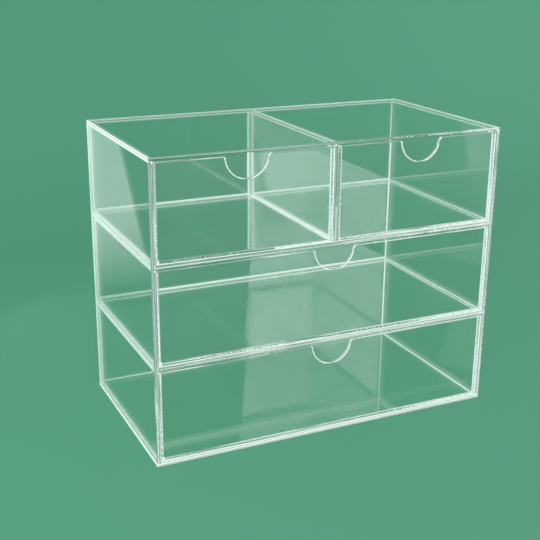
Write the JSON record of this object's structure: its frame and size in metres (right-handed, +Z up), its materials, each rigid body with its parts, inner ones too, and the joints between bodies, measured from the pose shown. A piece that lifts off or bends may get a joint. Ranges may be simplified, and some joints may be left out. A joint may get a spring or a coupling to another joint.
{
  "type": "clear drawer organizer",
  "caption": "Clear acrylic box organizer with full-width drawers under a pair of small ones, each front with a half-round finger notch.",
  "frame": {"origin": "middle of the footprint on the underside of the base panel", "axes": "+X along the long side, to the right seen from the front; drawer fronts face -Y; +Z up"},
  "size_m": [0.242, 0.13, 0.1952],
  "materials": {
    "cabinet_acrylic": "clear polished sheet with bright cut edges",
    "drawer_acrylic": "clear polished sheet with bright cut edges and frosted cement joints"
  },
  "bodies": {
    "cabinet": {"base_panel": "cabinet_acrylic", "top_panel": "cabinet_acrylic", "left_side_panel": "cabinet_acrylic", "right_side_panel": "cabinet_acrylic", "back_panel": "cabinet_acrylic", "lower_shelf": "cabinet_acrylic", "upper_shelf": "cabinet_acrylic", "centre_divider": "cabinet_acrylic"},
    "upper_left_drawer": {"upper_left_drawer_front": "drawer_acrylic", "upper_left_drawer_left_side": "drawer_acrylic", "upper_left_drawer_right_side": "drawer_acrylic", "upper_left_drawer_bottom": "drawer_acrylic", "upper_left_drawer_back": "drawer_acrylic"},
    "upper_right_drawer": {"upper_right_drawer_front": "drawer_acrylic", "upper_right_drawer_left_side": "drawer_acrylic", "upper_right_drawer_right_side": "drawer_acrylic", "upper_right_drawer_bottom": "drawer_acrylic", "upper_right_drawer_back": "drawer_acrylic"},
    "middle_drawer": {"middle_drawer_front": "drawer_acrylic", "middle_drawer_left_side": "drawer_acrylic", "middle_drawer_right_side": "drawer_acrylic", "middle_drawer_bottom": "drawer_acrylic", "middle_drawer_back": "drawer_acrylic"},
    "bottom_drawer": {"bottom_drawer_front": "drawer_acrylic", "bottom_drawer_left_side": "drawer_acrylic", "bottom_drawer_right_side": "drawer_acrylic", "bottom_drawer_bottom": "drawer_acrylic", "bottom_drawer_back": "drawer_acrylic"}
  },
  "joints": [
    {"name": "upper_left_drawer_slide", "type": "slide", "parent": "cabinet", "child": "upper_left_drawer", "axis": [0, -1, 0], "range_m": [0, 0.1]},
    {"name": "upper_right_drawer_slide", "type": "slide", "parent": "cabinet", "child": "upper_right_drawer", "axis": [0, -1, 0], "range_m": [0, 0.1]},
    {"name": "middle_drawer_slide", "type": "slide", "parent": "cabinet", "child": "middle_drawer", "axis": [0, -1, 0], "range_m": [0, 0.1]},
    {"name": "bottom_drawer_slide", "type": "slide", "parent": "cabinet", "child": "bottom_drawer", "axis": [0, -1, 0], "range_m": [0, 0.1]}
  ]
}
